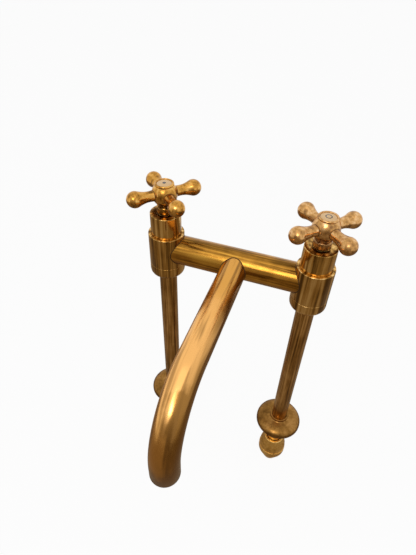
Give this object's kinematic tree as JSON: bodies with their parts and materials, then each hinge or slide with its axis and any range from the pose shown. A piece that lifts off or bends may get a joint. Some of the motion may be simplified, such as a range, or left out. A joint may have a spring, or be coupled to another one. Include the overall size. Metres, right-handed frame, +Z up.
{
  "type": "pillar mixer tap",
  "caption": "Deck-mounted brass bridge mixer tap: pillars with cross handles and porcelain indices, joined by a tube that carries a fixed, down-turned spout.",
  "frame": {"origin": "the point on the worktop's face midway between the two pillars", "axes": "+X from the left pillar to the right one as seen from the sink, +Z up, spout towards -Y"},
  "size_m": [0.2098, 0.226, 0.417],
  "materials": {
    "polished_brass": "polished, unlacquered, with a light patina",
    "satin_brass": "polished, dulled to satin by patina",
    "handle_brass": "cast and hand polished, unlacquered",
    "foot_brass": "polished, unlacquered, darkened by patina",
    "plain_brass": "machined",
    "porcelain": "glazed, cream",
    "ceramic": "lapped alumina",
    "steel": "stainless",
    "rubber": "matt",
    "fibre": "matt"
  },
  "bodies": {
    "tap": {"left_shroud": "polished_brass", "left_headwork_body": "plain_brass", "left_headwork_gasket": "fibre", "left_fixed_disc": "ceramic", "left_seat_seal": "rubber", "left_valve_body": "polished_brass", "left_bottom_cap": "polished_brass", "left_leg_washer": "fibre", "left_leg": "polished_brass", "left_rose": "foot_brass", "left_foot_shank": "foot_brass", "left_deck_washer": "rubber", "left_clamp_washer": "foot_brass", "left_back_nut": "foot_brass", "left_bell_nut": "foot_brass", "left_tail_washer": "fibre", "left_tail_cone": "foot_brass", "right_shroud": "polished_brass", "right_headwork_body": "plain_brass", "right_headwork_gasket": "fibre", "right_fixed_disc": "ceramic", "right_seat_seal": "rubber", "right_valve_body": "polished_brass", "right_bottom_cap": "polished_brass", "right_leg_washer": "fibre", "right_leg": "polished_brass", "right_rose": "foot_brass", "right_foot_shank": "foot_brass", "right_deck_washer": "rubber", "right_clamp_washer": "foot_brass", "right_back_nut": "foot_brass", "right_bell_nut": "foot_brass", "right_tail_washer": "fibre", "right_tail_cone": "foot_brass", "bridge_tube": "polished_brass", "spout_tube": "satin_brass"},
    "left_handle": {"left_handle_hub": "handle_brass", "left_handle_arms": "handle_brass", "left_index_ring": "handle_brass", "left_index_disc": "porcelain", "left_handle_screw": "steel", "left_spindle": "plain_brass", "left_circlip": "steel", "left_spindle_orings": "rubber", "left_moving_disc": "ceramic"},
    "right_handle": {"right_handle_hub": "handle_brass", "right_handle_arms": "handle_brass", "right_index_ring": "handle_brass", "right_index_disc": "porcelain", "right_handle_screw": "steel", "right_spindle": "plain_brass", "right_circlip": "steel", "right_spindle_orings": "rubber", "right_moving_disc": "ceramic"}
  },
  "joints": [
    {"name": "left_handle_turn", "type": "hinge", "parent": "tap", "child": "left_handle", "pos_m": [-0.076, 0, 0.248], "axis": [0, 0, 1], "range_deg": [0, 90]},
    {"name": "right_handle_turn", "type": "hinge", "parent": "tap", "child": "right_handle", "pos_m": [0.076, 0, 0.248], "axis": [0, 0, 1], "range_deg": [-90, 0]}
  ]
}
